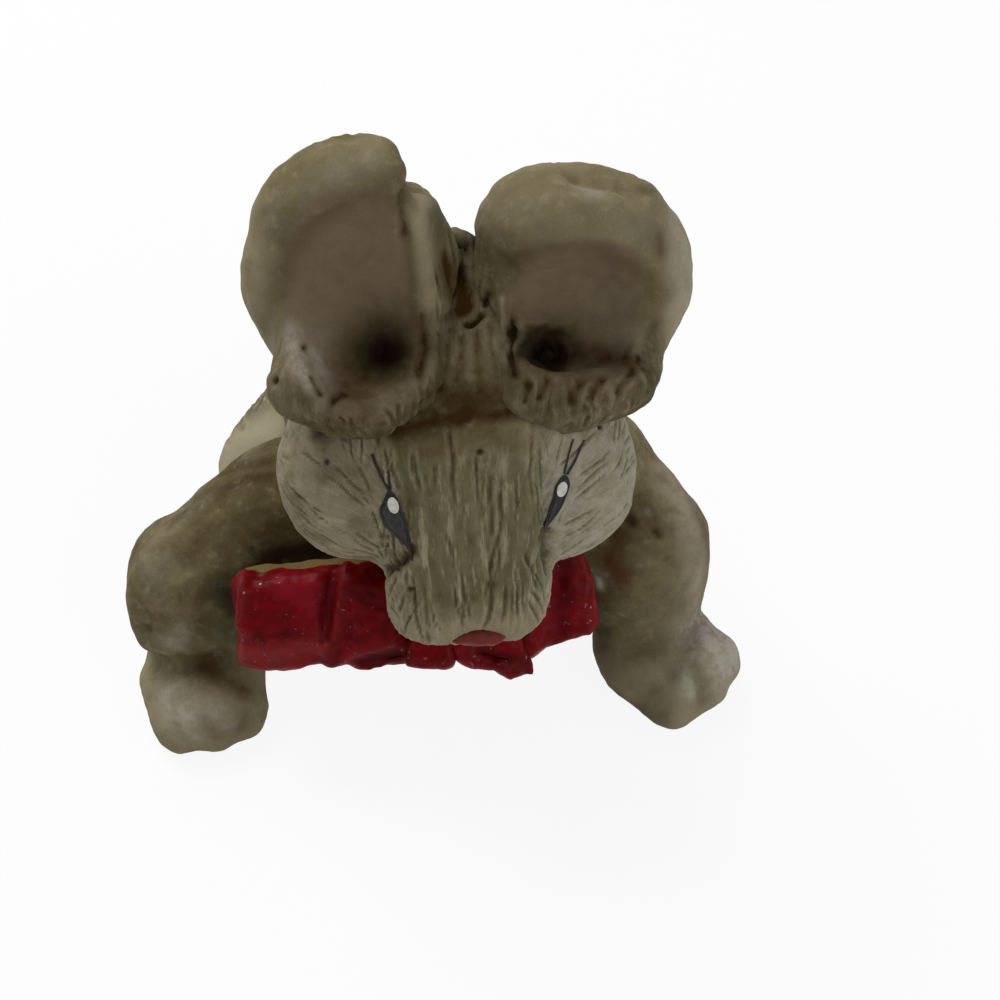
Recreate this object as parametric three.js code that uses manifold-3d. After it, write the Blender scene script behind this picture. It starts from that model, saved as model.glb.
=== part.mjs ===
// Crouching rabbit figurine with a bow under its chin, cast as separate pieces that plug together.
// Millimetres, +Z up. The rabbit faces -Y and stands on z = 0. Left and right are its own: left is +X.

import * as THREE from "three";
import { mergeVertices } from "three/addons/utils/BufferGeometryUtils.js";
import Module from "manifold-3d";

const wasm = await Module();
wasm.setup();

const at = (x, y, z) => new THREE.Vector3(x, y, z);
const mirrored = (v, side) => at(v.x * side, v.y, v.z);

// Fit between the castings
const glueGap = 0.3;
const spigotTaper = 0.85;
const spigotEmbed = 2;
const spigotSides = 8;

// Trunk: chest, belly and rump blended into one barrel
const chest = { at: at(0, -13.5, 21), size: at(16, 14.5, 15.5) };
const belly = { at: at(0, 3, 20.5), size: at(18, 18, 16) };
const rump = { at: at(0, 14, 18.5), size: at(17, 14, 14.5) };
const trunkBlend = 6;
const trunkMiddle = at(0, 2, 20);

// Head, with every feature placed from its centre
const headAt = at(2, -25, 41);
const skull = { at: at(0, 2, 0.5), size: at(16.5, 14, 13.5) };
const leftCheek = { at: at(9.7, -6, -2.2), size: at(8.8, 9.2, 8.9) };
const rightCheek = { at: at(-9.9, -5.8, -1), size: at(8.6, 9, 8.3) };
const crest = { at: at(0.9, 3.4, 12.3), size: at(3.4, 5.4, 8.6) };
const brow = { at: at(1.6, -4.6, 11.8), size: at(3.4, 4.8, 4.8) };
const bridge = { at: at(0, -12, 0), half: at(5, 2.4, 6.6), round: 2.6, lean: -0.52, taper: 0.15 };
const muzzle = { at: at(3.9, -16.8, -8.2), size: at(4.6, 5, 5) };
const snoutTip = { at: at(0, -16.8, -8.8), size: at(6.4, 5, 4.6) };
const chin = { at: at(0, -13.5, -10.5), size: at(5, 5, 3.6) };
const nosePad = { at: at(0.6, -21.2, -10.1), size: at(3, 1.1, 1.2) };
const faceBlend = { round: 3, snout: 1.2, both: 2.4 };

// Ears, each in its own frame: root at the origin, tip along +Z, hollow open to -Y
const rightEar = {
  root: at(-9.3, -1, 9.6), back: 0.27, tilt: 0, open: 0.1, wide: 1, tall: 0.97,
  tipShift: 1.2, tipWide: 6.8, lipShift: -1.4, dishMiddle: 10.5, dishTall: 9.8, canalAside: 2,
  notched: true,
};
const leftEar = {
  root: at(12.8, -1, 8), back: 0.27, tilt: 0.02, open: -0.1, wide: 1.06, tall: 0.88,
  tipShift: -3.2, tipWide: 7.4, lipShift: -0.9, dishMiddle: 9.9, dishTall: 7.4, canalAside: -3.4,
  notched: false,
};
const earShell = { at: at(0, 0, 10), size: at(10.1, 7, 12.4) };
const earTip = { at: at(0, -3.6, 18.6), size: at(1, 5.2, 5) };
const earLip = { at: at(0, -6.8, 1.5), size: at(8, 4.4, 4.7) };
const earDish = { forward: 10.6, wide: 8.3, deep: 6.6 };
const tipNotch = { at: at(11.3, -2, 23.4), size: at(12, 26, 12) };
const earCanal = { from: at(0, -7.5, 4.5), to: at(0, -5.5, 3.1), radius: 2.3, endRadius: 1.6 };
const earBlend = 4;

// Forelegs: the right one bends outward at the elbow, the left one stands straighter with a fuller shoulder
const rightForeleg = {
  shoulder: at(-16.9, -16, 21), shoulderRadius: 8.8,
  elbow: at(-29.3, -21, 16), wrist: at(-29.9, -24.5, 9.6),
};
const leftForeleg = {
  shoulder: at(18.5, -15, 20.5), shoulderRadius: 9.4,
  elbow: at(25.4, -21.5, 15.5), wrist: at(25.4, -24.5, 9.6),
};
const foreleg = { elbowRadius: 6.8, wristRadius: 6.4, blend: 3 };
const rightPaw = { at: at(-29.6, -27.2, 0), turn: 0.2 };
const leftPaw = { at: at(26, -28.4, 0), turn: 0.7 };
const paw = {
  at: at(0, 0, 4.8), size: at(7.7, 8, 5.4), toeAt: at(3.8, -5.4, 3.6), toeSize: at(3, 3.6, 3.8),
};

// Hind legs folded beside the trunk, knees outward
const thigh = { hip: at(8.4, 15, 12), hipRadius: 9.6, knee: at(18.4, -2, 13.8), kneeRadius: 9 };
const hindFoot = { at: at(20.5, 3, 0), turn: 0.1 };
const foot = {
  at: at(0, 0, 4), size: at(5.4, 13, 4.6), toeAt: at(3, -10, 3), toeSize: at(2.4, 3.4, 3.2),
};
const middleToeReach = 1;
const toeBlend = 0.8;

const tail = { at: at(0, 29, 19), size: at(7.2, 6.6, 7.2) };

// Bow, built upright round its knot and then leaned back against the chest
const bow = { at: at(0.5, -32, 20), lean: 0.56, ribbonWidth: 10.6, bevel: 0.8 };
const knot = { at: at(0, -0.6, 0), size: at(3.6, 4, 4.2) };
const outerFold = { from: 2.2, back: 4, front: -3, widthShare: 1, hang: 0 };
const innerFold = { from: 2.2, back: 3.4, front: -4.2, widthShare: 1.02, hang: 0.5 };
const foldPlan = { pinch: 0.4, swell: 2, backShare: 0.8, frontShare: 0.85 };
const rightLoop = { inner: 12, outer: 24, rise: 0, drop: 0 };
const leftLoop = { inner: 9, outer: 16, rise: 0.2, drop: 1.8 };
const ribbonEnd = { thickness: 1.8, forward: 4.8, apart: 0.3, topShare: 0.7, bevel: 0.3 };
const rightTail = { width: 5.8, innerLength: 5.4, outerLength: 5 };
const leftTail = { width: 8.8, innerLength: 3.8, outerLength: 7.4 };
const collar = { at: at(1, -18.2, 29.6), radius: 12.2, tube: 2, lean: 0.64 };

const paint = {
  fur: new THREE.MeshStandardMaterial({ color: 0x7c7157, roughness: 0.85, metalness: 0 }),
  bow: new THREE.MeshStandardMaterial({ color: 0x6a0b0f, roughness: 0.35, metalness: 0 }),
  nose: new THREE.MeshStandardMaterial({ color: 0x6b2a28, roughness: 0.6, metalness: 0 }),
};

// Clay forms give the distance from a point to their surface, negative inside.
const probe = new THREE.Vector3();
const scaled = new THREE.Vector3();
const zero = at(0, 0, 0);

function lump(centre, size) {
  return (point) => {
    probe.subVectors(point, centre).divide(size);
    scaled.copy(probe).divide(size);
    const near = probe.length();
    return (near * (near - 1)) / Math.max(scaled.length(), 1e-6);
  };
}

function limb(from, fromRadius, to, toRadius) {
  const along = to.clone().sub(from);
  return (point) => {
    probe.subVectors(point, from);
    const share = THREE.MathUtils.clamp(probe.dot(along) / along.lengthSq(), 0, 1);
    const radius = THREE.MathUtils.lerp(fromRadius, toRadius, share);
    return probe.addScaledVector(along, -share).length() - radius;
  };
}

// A rounded slab that leans about X and grows wider towards its top
function plank({ half, round, lean, taper }, centre) {
  const turn = new THREE.Matrix4().makeRotationX(-lean);
  return (point) => {
    probe.subVectors(point, centre).applyMatrix4(turn);
    const widen = taper * probe.z;
    scaled.set(Math.abs(probe.x) - widen, Math.abs(probe.y), Math.abs(probe.z)).sub(half);
    const inside = Math.min(Math.max(scaled.x, scaled.y, scaled.z), 0);
    return scaled.max(zero).length() + inside - round;
  };
}

// Forms pressed together, with each join rounded over the blend length
function pressed(blend, ...forms) {
  return (point) => {
    let near = forms[0](point);
    for (const form of forms.slice(1)) {
      const other = form(point);
      const mix = THREE.MathUtils.clamp(0.5 + (other - near) / (2 * blend), 0, 1);
      near = THREE.MathUtils.lerp(other, near, mix) - blend * mix * (1 - mix);
    }
    return near;
  };
}

// A ball of vertices round a centre, drawn in along its rays until it lies on the form.
// The ball's poles lie along the given direction, and grow lifts the skin off the form evenly.
function wrap(form, { centre, pole = at(0, 1, 0), around, down, grow = 0 }) {
  const farAway = 60;
  const closeness = 1e-4;
  const easing = 0.7;
  const ball = new THREE.SphereGeometry(1, around, down);
  ball.deleteAttribute("normal");
  ball.deleteAttribute("uv");
  ball.applyQuaternion(new THREE.Quaternion().setFromUnitVectors(at(0, 1, 0), pole.clone().normalize()));
  const skin = mergeVertices(ball);
  const place = skin.getAttribute("position");
  const ray = new THREE.Vector3();
  const point = new THREE.Vector3();
  for (let i = 0; i < place.count; i++) {
    ray.fromBufferAttribute(place, i).normalize();
    let reach = farAway;
    let gap = farAway;
    for (let step = 0; step < 200 && Math.abs(gap) > closeness; step++) {
      point.copy(centre).addScaledVector(ray, reach);
      gap = form(point) - grow;
      reach -= gap * easing;
    }
    place.setXYZ(i, point.x, point.y, point.z);
  }
  return skin;
}

function solid(geometry) {
  const bare = geometry.clone();
  bare.deleteAttribute("normal");
  bare.deleteAttribute("uv");
  const joined = mergeVertices(bare);
  const vertProperties = new Float32Array(joined.getAttribute("position").array);
  const triVerts = new Uint32Array(joined.index.array);
  return new wasm.Manifold(new wasm.Mesh({ numProp: 3, vertProperties, triVerts }));
}

// A tapered pin from a seat into the casting that holds it, or its socket when grown
function spigot({ seat, into, radius, length }, grow = 0) {
  const full = length + spigotEmbed + grow;
  const pin = new THREE.CylinderGeometry(radius * spigotTaper + grow, radius + grow, full, spigotSides);
  pin.translate(0, full / 2 - spigotEmbed, 0);
  pin.applyQuaternion(new THREE.Quaternion().setFromUnitVectors(at(0, 1, 0), into.clone().normalize()));
  return solid(pin.translate(seat.x, seat.y, seat.z));
}

// Everything below the floor, for cutting the soles flat
function belowFloor() {
  const depth = 30;
  const ground = new THREE.BoxGeometry(300, 300, depth);
  return solid(ground.translate(0, 0, -depth / 2));
}

// A finished piece, with its own origin at the seat where it plugs in
function piece(name, body, material, seat) {
  const data = body.getMesh();
  const geometry = new THREE.BufferGeometry();
  geometry.setAttribute("position", new THREE.BufferAttribute(new Float32Array(data.vertProperties), 3));
  geometry.setIndex(new THREE.BufferAttribute(new Uint32Array(data.triVerts), 1));
  const mesh = new THREE.Mesh(geometry.translate(-seat.x, -seat.y, -seat.z), material);
  mesh.name = name;
  mesh.position.copy(seat);
  return mesh;
}

function torsoBody(grow = 0) {
  const barrels = [chest, belly, rump].map((barrel) => lump(barrel.at, barrel.size));
  const form = pressed(trunkBlend, ...barrels);
  return solid(wrap(form, { centre: trunkMiddle, around: 22, down: 16, grow }));
}

// Skull with two round cheeks, a crest and a brow between the ears, a flat snout bridge and a wide muzzle
function headBody(grow = 0) {
  const spot = ({ at: from, size }, side = 1) => lump(mirrored(from, side).add(headAt), size);
  const dome = [skull, leftCheek, rightCheek, crest, brow].map((form) => spot(form));
  const round = pressed(faceBlend.round, ...dome);
  const snout = pressed(faceBlend.snout, plank(bridge, bridge.at.clone().add(headAt)),
    spot(muzzle), spot(muzzle, -1), spot(snoutTip), spot(chin));
  const form = pressed(faceBlend.both, round, snout);
  const centre = headAt.clone().add(at(0, -6, -1));
  return solid(wrap(form, { centre, pole: at(0, 0.8, 1), around: 50, down: 22, grow }));
}

function nosePadBody(grow = 0) {
  const centre = nosePad.at.clone().add(headAt);
  return solid(wrap(lump(centre, nosePad.size), { centre, around: 12, down: 6, grow }));
}

function earPlacing(ear) {
  const turn = new THREE.Euler(-ear.back, ear.tilt, ear.open, "ZYX");
  const matrix = new THREE.Matrix4().makeRotationFromEuler(turn).scale(at(ear.wide, 1, ear.tall));
  return matrix.setPosition(ear.root.clone().add(headAt));
}

// A thick shell with its tip curled forward over a shallow dish, and a canal at the foot of the dish
function earBody(ear) {
  const inward = -Math.sign(ear.root.x);
  const placed = (geometry) => solid(geometry.applyMatrix4(earPlacing(ear)));
  const tip = lump(earTip.at.clone().setX(ear.tipShift), earTip.size.clone().setX(ear.tipWide));
  const lip = lump(earLip.at.clone().setX(ear.lipShift), earLip.size);
  const shell = pressed(earBlend, lump(earShell.at, earShell.size), tip, lip);
  const outside = placed(wrap(shell, { centre: at(0, -2, 8.5), around: 32, down: 20 }));
  const dishAt = at(0, -earDish.forward, ear.dishMiddle);
  const dishForm = lump(dishAt, at(earDish.wide, earDish.deep, ear.dishTall));
  const dish = placed(wrap(dishForm, { centre: dishAt, around: 22, down: 14 }));
  const mouth = earCanal.from.clone().setX(ear.canalAside);
  const end = earCanal.to.clone().setX(ear.canalAside);
  const canalForm = limb(mouth, earCanal.radius, end, earCanal.endRadius);
  const canal = placed(wrap(canalForm, { centre: mouth.clone().lerp(end, 0.5), around: 12, down: 8 }));
  const cupped = outside.subtract(dish).subtract(canal);
  if (!ear.notched) return cupped;
  const notchAt = mirrored(tipNotch.at, inward);
  const notch = new THREE.BoxGeometry(...tipNotch.size).translate(...notchAt);
  return cupped.subtract(placed(notch));
}

// A paw or hind foot: a flattened pad with three toes in front, turned and set on the floor
function pawBody(shape, { at: place, turn }) {
  const toes = [-1, 0, 1].map((slot) => {
    const reach = slot === 0 ? middleToeReach : 0;
    return lump(at(shape.toeAt.x * slot, shape.toeAt.y - reach, shape.toeAt.z), shape.toeSize);
  });
  const form = pressed(toeBlend, lump(shape.at, shape.size), ...toes);
  const centre = at(0, shape.toeAt.y * 0.5, shape.at.z);
  return solid(wrap(form, { centre, around: 20, down: 11 }).rotateZ(turn).translate(place.x, place.y, 0));
}

function forelegBody({ shoulder, elbow, wrist, shoulderRadius }, pawPlace, grow = 0) {
  const form = pressed(foreleg.blend, limb(shoulder, shoulderRadius, elbow, foreleg.elbowRadius),
    limb(elbow, foreleg.elbowRadius, wrist, foreleg.wristRadius));
  const centre = elbow.clone().lerp(shoulder, 0.2);
  const leg = solid(wrap(form, { centre, pole: shoulder.clone().sub(wrist), around: 18, down: 14, grow }));
  return leg.add(pawBody(paw, pawPlace)).subtract(belowFloor());
}

function hindLegBody(side) {
  const hip = mirrored(thigh.hip, side);
  const knee = mirrored(thigh.knee, side);
  const form = limb(hip, thigh.hipRadius, knee, thigh.kneeRadius);
  const centre = hip.clone().lerp(knee, 0.5);
  const haunch = solid(wrap(form, { centre, pole: hip.clone().sub(knee), around: 18, down: 12 }));
  const sole = pawBody(foot, { at: mirrored(hindFoot.at, side), turn: hindFoot.turn * side });
  return haunch.add(sole).subtract(belowFloor());
}

function tailBody() {
  return solid(wrap(lump(tail.at, tail.size), { centre: tail.at, around: 16, down: 10 }));
}

function bowPlaced(geometry) {
  return solid(geometry.rotateX(-bow.lean).translate(bow.at.x, bow.at.y, bow.at.z));
}

// Settings that take the sharp edge off an extruded ribbon without making it larger
function roundedEdge(bevel) {
  return { bevelSize: bevel, bevelThickness: bevel, bevelOffset: -bevel, bevelSegments: 1 };
}

// One folded layer of ribbon: its plan outline, from the knot to the fold, raised to the ribbon's width.
// Rise tips the outer end of a loop upward, and drop sets the whole loop lower than the knot.
function foldBody({ from, back, front, widthShare, hang }, far, side, { rise, drop }) {
  const swell = from + foldPlan.swell;
  const plan = new THREE.Shape();
  plan.moveTo(from * side, back * foldPlan.pinch);
  plan.quadraticCurveTo(swell * side, back, far * foldPlan.backShare * side, back);
  plan.quadraticCurveTo(far * side, back, far * side, 0);
  plan.quadraticCurveTo(far * side, front, far * foldPlan.frontShare * side, front);
  plan.quadraticCurveTo(swell * side, front, from * side, front * foldPlan.pinch);
  plan.closePath();
  const depth = bow.ribbonWidth * widthShare - 2 * bow.bevel;
  const layer = new THREE.ExtrudeGeometry(plan, { depth, curveSegments: 4, ...roundedEdge(bow.bevel) });
  return bowPlaced(layer.translate(0, 0, -depth / 2 - hang - drop).rotateY(-rise * side));
}

function loopBody(loop, side) {
  const outer = foldBody(outerFold, loop.outer, side, loop);
  return outer.add(foldBody(innerFold, loop.inner, side, loop));
}

function knotBody(grow = 0) {
  return bowPlaced(wrap(lump(knot.at, knot.size), { centre: knot.at, around: 12, down: 8, grow }));
}

// A flat ribbon end hanging from the knot, cut off on a slant
function bowTailBody({ width, innerLength, outerLength }, side) {
  const { apart, topShare, bevel, thickness } = ribbonEnd;
  const strip = new THREE.Shape();
  strip.moveTo(apart * side, 0);
  strip.lineTo(width * topShare * side, 0);
  strip.lineTo(width * side, -outerLength);
  strip.lineTo(apart * side, -innerLength);
  strip.closePath();
  const sheet = new THREE.ExtrudeGeometry(strip, { depth: thickness - 2 * bevel, ...roundedEdge(bevel) });
  return bowPlaced(sheet.rotateX(Math.PI / 2).translate(0, -ribbonEnd.forward, 0));
}

// The ribbon round the neck, lying in the crease between head and trunk
function collarBody(grow = 0) {
  const ring = new THREE.TorusGeometry(collar.radius, collar.tube + grow, 8, 24);
  return solid(ring.rotateX(collar.lean).translate(collar.at.x, collar.at.y, collar.at.z));
}

// Joints between castings: where each pin leaves its piece and which way it goes in
const neckPin = { seat: at(1.5, -20, 34), into: at(-0.5, 10, -9), radius: 4.5, length: 8 };
const tailPin = { seat: at(0, 28, 19), into: at(0, -1, 0), radius: 2.5, length: 5 };
const nosePin = {
  seat: headAt.clone().add(at(0.6, -19.1, -9.8)), into: at(0, 1, 0.2), radius: 1, length: 3,
};
const knotPin = { seat: at(0.5, -30, 20.5), into: at(0, 1, 0), radius: 1.6, length: 6 };
const earPin = (ear) => ({
  seat: ear.root.clone().add(headAt).add(at(0, 0.5, 1)),
  into: at(-Math.sign(ear.root.x) * 3, 1, -10), radius: 3, length: 6,
});
const shoulderPin = ({ shoulder }) => ({
  seat: shoulder, into: at(-Math.sign(shoulder.x), 0.3, -0.1), radius: 3.5, length: 9,
});
const hipPin = (side) => ({
  seat: at(16.5 * side, 8, 14), into: at(-side, 0, 0.1), radius: 3.5, length: 7,
});

function withSockets(body, joints) {
  return joints.reduce((rest, joint) => rest.subtract(spigot(joint, glueGap)), body);
}

function assemble() {
  const torsoRoom = torsoBody(glueGap);
  const headRoom = headBody(glueGap);
  const knotRoom = knotBody(glueGap);
  const collarRoom = collarBody(glueGap);
  const rabbit = new THREE.Group();
  const add = (name, body, material, seat) => rabbit.add(piece(name, body, material, seat));

  const legJoints = [shoulderPin(rightForeleg), shoulderPin(leftForeleg), hipPin(1), hipPin(-1)];
  const trunkJoints = [neckPin, tailPin, knotPin, ...legJoints];
  add("torso", withSockets(torsoBody(), trunkJoints), paint.fur, trunkMiddle);
  const face = headBody().subtract(torsoRoom).subtract(nosePadBody(glueGap)).add(spigot(neckPin));
  add("head", withSockets(face, [nosePin, earPin(leftEar), earPin(rightEar)]), paint.fur, neckPin.seat);
  add("nose", nosePadBody().add(spigot(nosePin)), paint.nose, nosePin.seat);
  for (const [name, ear] of [["ear_left", leftEar], ["ear_right", rightEar]]) {
    add(name, earBody(ear).subtract(headRoom).add(spigot(earPin(ear))), paint.fur, earPin(ear).seat);
  }
  for (const [side, joints, place] of [["left", leftForeleg, leftPaw], ["right", rightForeleg, rightPaw]]) {
    const front = forelegBody(joints, place).subtract(torsoRoom).subtract(headRoom).subtract(collarRoom);
    add(`foreleg_${side}`, front.add(spigot(shoulderPin(joints))), paint.fur, joints.shoulder);
    const hip = hipPin(Math.sign(joints.shoulder.x));
    const hind = hindLegBody(Math.sign(joints.shoulder.x)).subtract(torsoRoom);
    const folded = hind.subtract(forelegBody(joints, place, glueGap)).add(spigot(hip));
    add(`hind_leg_${side}`, folded, paint.fur, hip.seat);
  }
  add("tail", tailBody().subtract(torsoRoom).add(spigot(tailPin)), paint.fur, tailPin.seat);

  const ribbon = collarBody().subtract(torsoRoom).subtract(headRoom).subtract(knotRoom);
  add("neck_ribbon", withSockets(ribbon, [knotPin]), paint.bow, collar.at);
  add("bow_knot", knotBody().subtract(torsoRoom).add(spigot(knotPin)), paint.bow, knotPin.seat);
  for (const [name, loop, side] of [["bow_loop_left", leftLoop, 1], ["bow_loop_right", rightLoop, -1]]) {
    const folds = loopBody(loop, side).subtract(torsoRoom).subtract(knotRoom).subtract(collarRoom);
    add(name, folds, paint.bow, bow.at);
  }
  for (const [name, end, side] of [["bow_tail_left", leftTail, 1], ["bow_tail_right", rightTail, -1]]) {
    add(name, bowTailBody(end, side).subtract(knotRoom), paint.bow, bow.at);
  }
  return rabbit;
}

// The figurine stands with the middle of its outline over the origin
const group = assemble();
group.name = "rabbit_figurine";
const outline = new THREE.Box3().setFromObject(group);
const middle = outline.getCenter(new THREE.Vector3());
group.position.set(-middle.x, -middle.y, -outline.min.z);

export default group;
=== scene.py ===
import math

import bmesh
import bpy
import numpy as np
from mathutils import Matrix, Vector, noise
from mathutils.bvhtree import BVHTree
from mathutils.kdtree import KDTree


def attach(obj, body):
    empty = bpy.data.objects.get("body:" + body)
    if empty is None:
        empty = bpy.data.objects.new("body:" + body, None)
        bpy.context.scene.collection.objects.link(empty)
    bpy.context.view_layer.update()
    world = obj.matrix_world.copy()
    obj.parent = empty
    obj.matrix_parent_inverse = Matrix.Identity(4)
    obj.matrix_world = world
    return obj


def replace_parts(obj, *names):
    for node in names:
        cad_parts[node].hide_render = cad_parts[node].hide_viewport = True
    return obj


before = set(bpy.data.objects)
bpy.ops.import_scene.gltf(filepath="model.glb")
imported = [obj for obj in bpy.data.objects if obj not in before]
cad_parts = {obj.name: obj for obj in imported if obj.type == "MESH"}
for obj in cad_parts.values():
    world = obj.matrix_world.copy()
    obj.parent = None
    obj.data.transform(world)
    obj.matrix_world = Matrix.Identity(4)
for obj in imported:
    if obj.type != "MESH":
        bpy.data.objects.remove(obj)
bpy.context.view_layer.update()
mm = 0.001
centring = Vector((0.838, 5.85, 0))    # from the sculptor's own origin to the frame's, in mm
print("frame loaded,", len(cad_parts), "solids")


# camera

view = {
    "azimuth": -6, "elevation": 45, "distance": 194.4, "across": 9.5, "rise": 3.4,
    "focal": 1.4, "picture": 1000,
}


def viewAxes():
    turn, tip = math.radians(view["azimuth"]), math.radians(view["elevation"])
    back = Vector((math.sin(turn) * math.cos(tip), -math.cos(turn) * math.cos(tip), math.sin(tip)))
    right = Vector((math.cos(turn), math.sin(turn), 0))
    up = back.cross(right)
    eye = centring + right * view["across"] + up * view["rise"] + back * view["distance"]
    return right, up, back, eye


def addCamera():
    right, up, back, eye = viewAxes()
    lens = bpy.data.cameras.new("camera")
    lens.sensor_width = 36
    lens.lens = view["focal"] * lens.sensor_width
    lens.clip_start = 0.005
    camera = bpy.data.objects.new("camera", lens)
    turn = Matrix((right, up, back)).transposed().to_4x4()
    camera.matrix_world = Matrix.Translation(eye * mm) @ turn
    bpy.context.scene.collection.objects.link(camera)
    bpy.context.scene.camera = camera


def sightLine(across, down):
    # from the eye through a spot of the picture, counted from its top left corner
    right, up, back, eye = viewAxes()
    half, focal = view["picture"] / 2, view["focal"] * view["picture"]
    return eye, (right * ((across - half) / focal) + up * ((half - down) / focal) - back).normalized()


# shader wiring

class Wire:
    # one output of a shader node, so that sums of masks are written as plain expressions
    def __init__(self, tree, socket=None):
        self.tree = tree
        self.socket = socket

    def add(self, kind, settings=None, inputs=None, output=0):
        node = self.tree.nodes.new(kind)
        for name, value in (settings or {}).items():
            setattr(node, name, value)
        for name, value in (inputs or {}).items():
            self.plug(node.inputs[name], value)
        return Wire(self.tree, node.outputs[output])

    def plug(self, socket, value):
        # gives an input of a node a wire or a plain value
        if isinstance(value, Wire):
            self.tree.links.new(value.socket, socket)
        else:
            socket.default_value = value

    def math(self, operation, first, second, clamp=False):
        return self.add("ShaderNodeMath", {"operation": operation, "use_clamp": clamp}, {0: first, 1: second})

    def __add__(self, other):
        return self.math("ADD", self, other)

    def __sub__(self, other):
        return self.math("SUBTRACT", self, other)

    def __mul__(self, other):
        return self.math("MULTIPLY", self, other)

    def __rsub__(self, other):
        return self.math("SUBTRACT", other, self)

    __radd__ = __add__
    __rmul__ = __mul__

    def clamped(self):
        return self.math("ADD", self, 0, clamp=True)

    def between(self, low, high):
        # 0 below low, 1 above high
        return self.add("ShaderNodeMapRange", {"interpolation_type": "SMOOTHSTEP"},
                        {"Value": self, "From Min": low, "From Max": high})

    def blend(self, under, over):
        # paint laid over other paint, as thick as this mask
        return self.add("ShaderNodeMix", {"data_type": "RGBA"}, {0: self, 6: under, 7: over}, output=2)


def tone(red, green, blue):
    # a paint colour given as it shows on a screen, 0 to 255
    def linear(value):
        value = value / 255
        return value / 12.92 if value <= 0.04045 else ((value + 0.055) / 1.055) ** 2.4
    return (linear(red), linear(green), linear(blue), 1)


class Paint:
    # a material with the masks and noises that its colours are built from
    def __init__(self, name):
        self.material = bpy.data.materials.new(name)
        self.material.use_nodes = True
        self.tree = self.material.node_tree
        self.shader = self.tree.nodes["Principled BSDF"]
        self.wire = Wire(self.tree)
        self.spot = self.wire.add("ShaderNodeTexCoord", output="Object")

    def speckle(self, size, detail=2, roughness=0.5):
        # noise whose grains are about the given size in mm
        return self.wire.add("ShaderNodeTexNoise", None, {
            "Vector": self.spot, "Scale": 1 / (size * mm), "Detail": detail, "Roughness": roughness})

    def strands(self):
        # noise drawn out along the lie of the fur
        lie = self.wire.add("ShaderNodeAttribute", {"attribute_name": "lie"}, output="Vector")
        return self.wire.add("ShaderNodeTexNoise", None, {
            "Vector": lie, "Scale": 1, "Detail": 4, "Roughness": 0.68})

    def mask(self, name):
        return self.wire.add("ShaderNodeAttribute", {"attribute_name": name}, output="Fac")

    def feed(self, name, value):
        self.wire.plug(self.shader.inputs[name], value)

    def coats(self, tones, base, layers):
        # paints laid over the base one after another, each as thick as its mask
        color = tones[base]
        for name, mask in layers:
            color = mask.clamped().blend(color, tones[name])
        self.feed("Base Color", color)

    def bump(self, height, strength, distance):
        self.feed("Normal", self.wire.add("ShaderNodeBump", None, {
            "Height": height, "Strength": strength, "Distance": distance * mm}))


# the near-black tone is painted shadow, for the gaps, pits and ear canals
furTones = {
    "coat": tone(122, 112, 83), "olive": tone(96, 86, 56), "grey": tone(110, 105, 87),
    "pale": tone(152, 142, 115), "white": tone(178, 173, 160), "mauve": tone(117, 103, 83),
    # the brown wash tone is real wash in the carved grooves, and is also laid as painted shade in creases,
    # folds, joints and under overhangs
    "wash": tone(55, 38, 12), "soot": tone(17, 7, 1), "dry": tone(164, 154, 128), "hollow": tone(97, 93, 71),
    "rust": tone(84, 42, 28), "cream": tone(188, 182, 158),
}
furGrains = {
    "cloud": 11, "patch": 5, "smudge": 3.2, "broken": 2.4, "mottle": 1.5, "fleck": 0.4, "grain": 0.13,
}


def furPaint():
    paint, size = Paint("furPaint"), furGrains
    cloud = paint.speckle(size["cloud"], 3).between(0.38, 0.62)
    patch = paint.speckle(size["patch"], 3, 0.6).between(0.46, 0.7)
    mottle = paint.speckle(size["mottle"], 4, 0.65)
    fleck = paint.speckle(size["fleck"], 2)
    grain = paint.speckle(size["grain"], 2)
    smudge = paint.speckle(size["smudge"], 4, 0.6).between(0.42, 0.68)
    broken = paint.speckle(size["broken"], 2).between(0.42, 0.6)
    strand = paint.strands() - 0.5
    combed = paint.mask("combed")
    hairline = (1 - strand * strand * 420).clamped() * combed * broken    # thin scratches
    raised = strand.between(0, 0.14) * combed
    paint.coats(furTones, "coat", [
        ("olive", cloud), ("grey", patch * 0.6), ("olive", mottle.between(0.52, 0.7) * 0.4),
        ("pale", mottle.between(0.48, 0.3) * 0.45), ("hollow", combed * 0.75),
        ("pale", paint.mask("pale") * (mottle * 0.6 + 0.65)),
        ("mauve", paint.mask("mauve") * (mottle * 0.5 + 0.7)),
        ("white", paint.mask("white") * (mottle.between(0.36, 0.64) * 0.9 + 0.5)),
        ("dry", raised * 0.7 + paint.mask("dry") * mottle.between(0.3, 0.65) * 0.5),
        ("wash", (smudge * 0.48 + mottle.between(0.56, 0.74) * 0.2) * paint.mask("stain")),
        # brown wash in the grooves, and painted shade in creases, hollows and joints
        ("wash", paint.mask("wash") * 0.72 + paint.mask("seam") * (mottle * 0.7 + 0.5) + hairline * 0.2),
        ("rust", paint.mask("rust")), ("cream", paint.mask("cream")),
        ("wash", fleck.between(0.72, 0.8) * 0.2 + grain.between(0.35, 0.65) * 0.12),
        # near-black painted shadow in gaps, pits and the ear canals
        ("soot", paint.mask("soot")),
    ])
    paint.feed("Roughness", 0.7 + mottle * 0.18 + paint.mask("wash") * 0.08)
    paint.feed("Specular IOR Level", 0.07)
    paint.bump(fleck * 0.5 + grain * 0.5 + raised - hairline * 0.4, 0.5, 0.12)
    return paint.material


bowTones = {
    # the paler worn red is painted highlight on the bow's lit edges and lower bands, as well as wear on its
    # ridges
    "red": tone(108, 3, 10), "deep": tone(56, 1, 2), "rose": tone(134, 20, 34), "worn": tone(122, 42, 42),
    "bare": tone(104, 87, 52),
}
bowGrains = {"bloom": 6, "cloud": 3.2, "mottle": 0.8, "glint": 0.55}


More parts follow.
